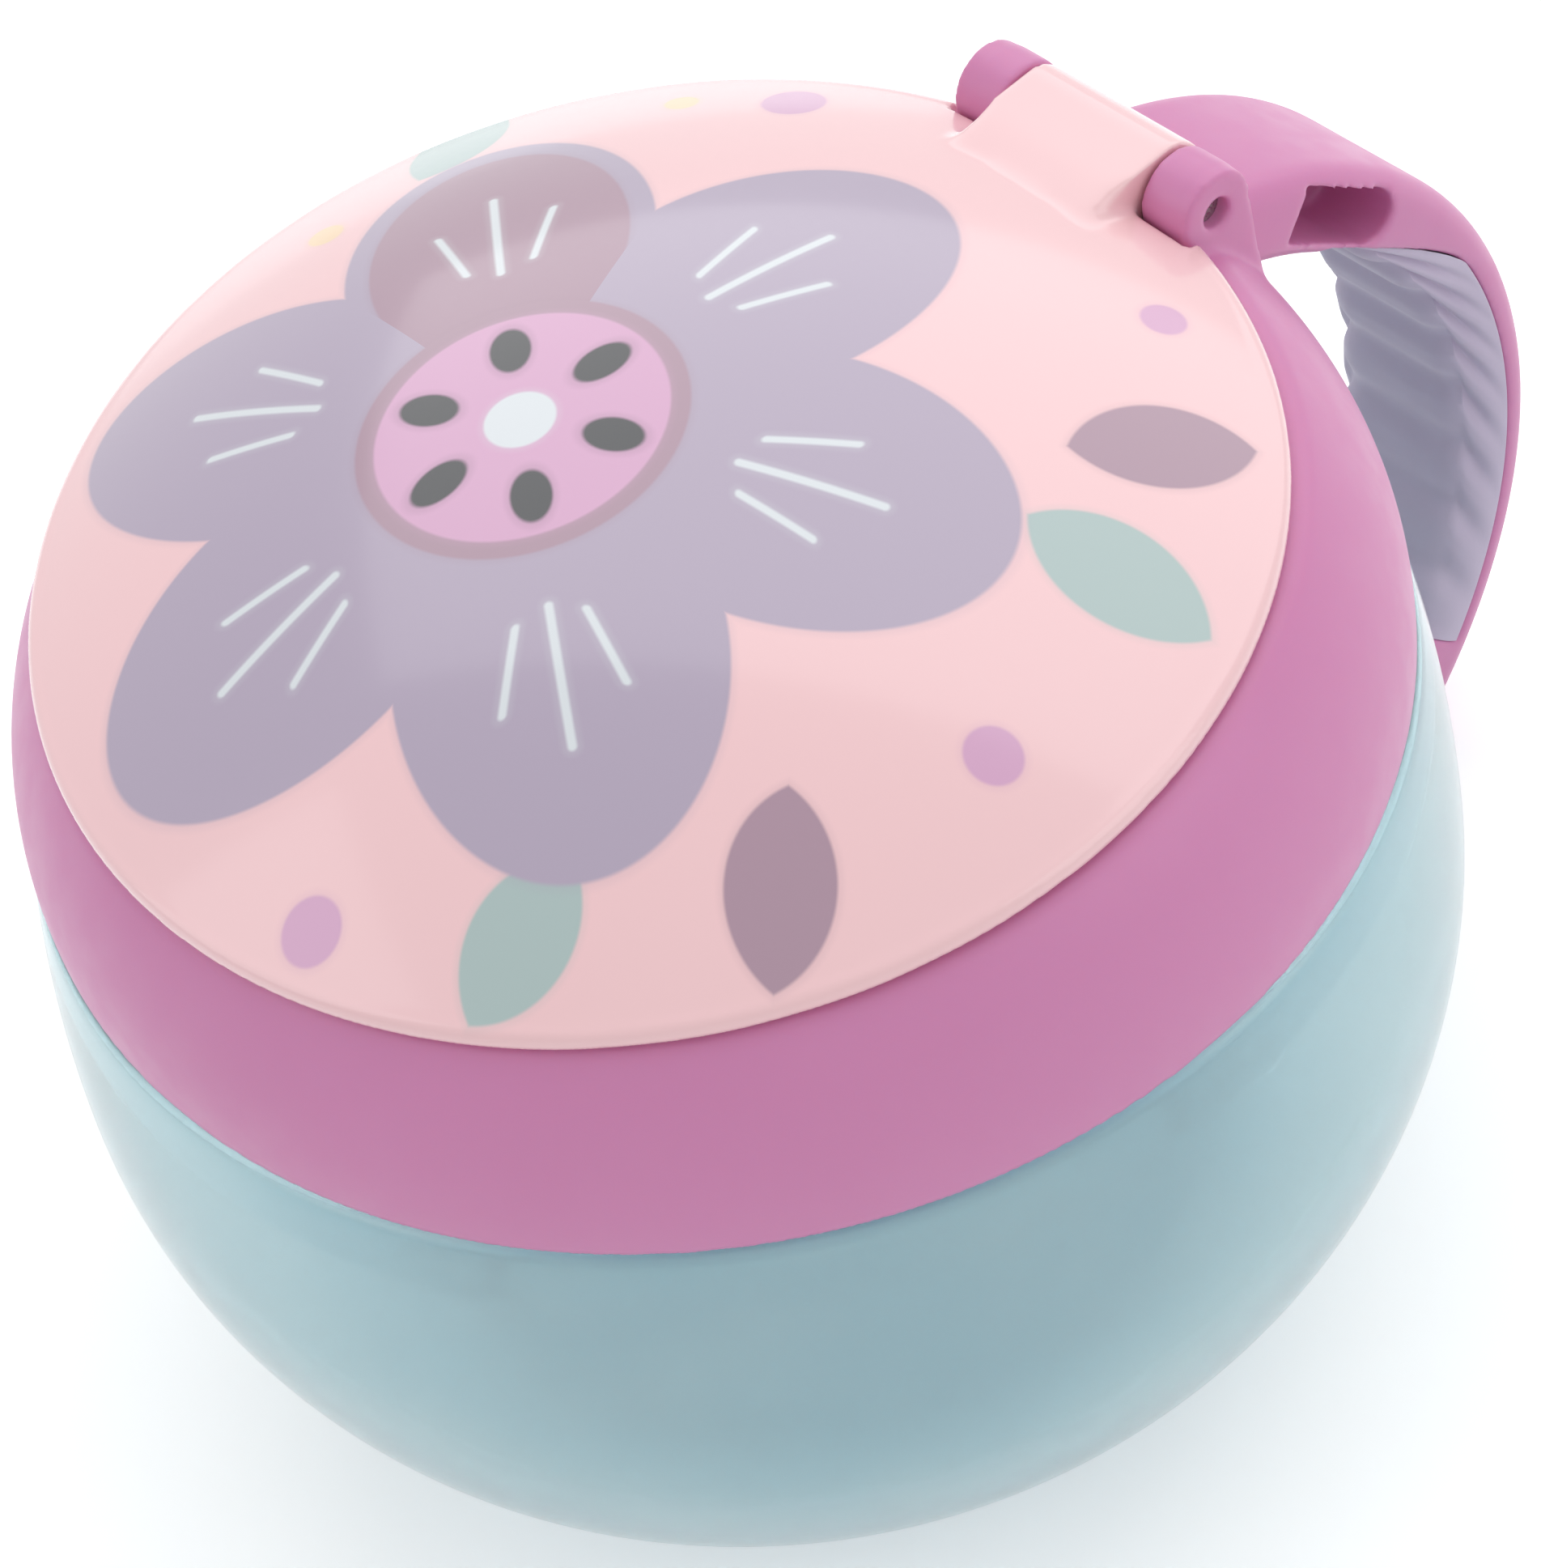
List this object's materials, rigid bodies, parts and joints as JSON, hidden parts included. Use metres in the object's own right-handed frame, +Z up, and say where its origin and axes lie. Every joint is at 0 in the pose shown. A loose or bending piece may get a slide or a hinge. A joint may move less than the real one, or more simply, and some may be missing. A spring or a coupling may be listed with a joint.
{
  "type": "toddler snack container",
  "caption": "Round translucent snack cup with a screw-on collar and handle, soft push-through flaps and a domed lid hinged on a steel pin.",
  "frame": {"origin": "centre of the cup's flat base, on the cup's axis", "axes": "+Z up along the cup's axis, +Y towards the hinge and the handle, +X to the side"},
  "size_m": [0.106, 0.1312, 0.0868],
  "materials": {
    "cup_plastic": "translucent aqua polypropylene, glossy",
    "collar_plastic": "satin orchid-pink moulded plastic",
    "lid_plastic": "high-gloss pale pink with an in-mould print",
    "grip_rubber": "soft matte grey-violet elastomer",
    "flap_rubber": "soft translucent pale elastomer",
    "seal_rubber": "soft white silicone",
    "pin_steel": "plain steel wire"
  },
  "bodies": {
    "cup_body": {"cup": "cup_plastic"},
    "seal_body": {"cup_seal": "seal_rubber"},
    "collar_body": {"collar": "collar_plastic", "handle_grip": "grip_rubber", "flap_ring": "flap_rubber", "hinge_pin": "pin_steel"},
    "lid_body": {"lid": "lid_plastic"},
    "flap_1_body": {"flap_1": "flap_rubber"},
    "flap_2_body": {"flap_2": "flap_rubber"},
    "flap_3_body": {"flap_3": "flap_rubber"},
    "flap_4_body": {"flap_4": "flap_rubber"},
    "flap_5_body": {"flap_5": "flap_rubber"},
    "flap_6_body": {"flap_6": "flap_rubber"}
  },
  "joints": [
    {"name": "collar_lift", "type": "slide", "parent": "cup_body", "child": "seal_body", "axis": [0, 0, 1], "range_m": [0, 0.09]},
    {"name": "collar_turn", "type": "hinge", "parent": "seal_body", "child": "collar_body", "pos_m": [0, 0, 0.056], "axis": [0, 0, 1], "range_deg": [0, 300]},
    {"name": "lid_open", "type": "hinge", "parent": "collar_body", "child": "lid_body", "pos_m": [0, 0.04372, 0.07684], "axis": [-1, 0, 0], "range_deg": [0, 115]},
    {"name": "flap_1_bend", "type": "hinge", "parent": "collar_body", "child": "flap_1_body", "pos_m": [0.01479, 0.02561, 0.06765], "axis": [0.866, -0.5, 0], "range_deg": [0, 65], "stiffness_Nm_per_rad": 0.01},
    {"name": "flap_2_bend", "type": "hinge", "parent": "collar_body", "child": "flap_2_body", "pos_m": [-0.01479, 0.02561, 0.06765], "axis": [0.866, 0.5, 0], "range_deg": [0, 65], "stiffness_Nm_per_rad": 0.01},
    {"name": "flap_3_bend", "type": "hinge", "parent": "collar_body", "child": "flap_3_body", "pos_m": [-0.02958, 0, 0.06765], "axis": [0, 1, 0], "range_deg": [0, 65], "stiffness_Nm_per_rad": 0.01},
    {"name": "flap_4_bend", "type": "hinge", "parent": "collar_body", "child": "flap_4_body", "pos_m": [-0.01479, -0.02561, 0.06765], "axis": [-0.866, 0.5, 0], "range_deg": [0, 65], "stiffness_Nm_per_rad": 0.01},
    {"name": "flap_5_bend", "type": "hinge", "parent": "collar_body", "child": "flap_5_body", "pos_m": [0.01479, -0.02561, 0.06765], "axis": [-0.866, -0.5, 0], "range_deg": [0, 65], "stiffness_Nm_per_rad": 0.01},
    {"name": "flap_6_bend", "type": "hinge", "parent": "collar_body", "child": "flap_6_body", "pos_m": [0.02958, 0, 0.06765], "axis": [0, -1, 0], "range_deg": [0, 65], "stiffness_Nm_per_rad": 0.01}
  ],
  "couplings": [
    {"joint": "flap_2_bend", "follows": "flap_1_bend", "ratio": 1},
    {"joint": "flap_3_bend", "follows": "flap_1_bend", "ratio": 1},
    {"joint": "flap_4_bend", "follows": "flap_1_bend", "ratio": 1},
    {"joint": "flap_5_bend", "follows": "flap_1_bend", "ratio": 1},
    {"joint": "flap_6_bend", "follows": "flap_1_bend", "ratio": 1}
  ]
}
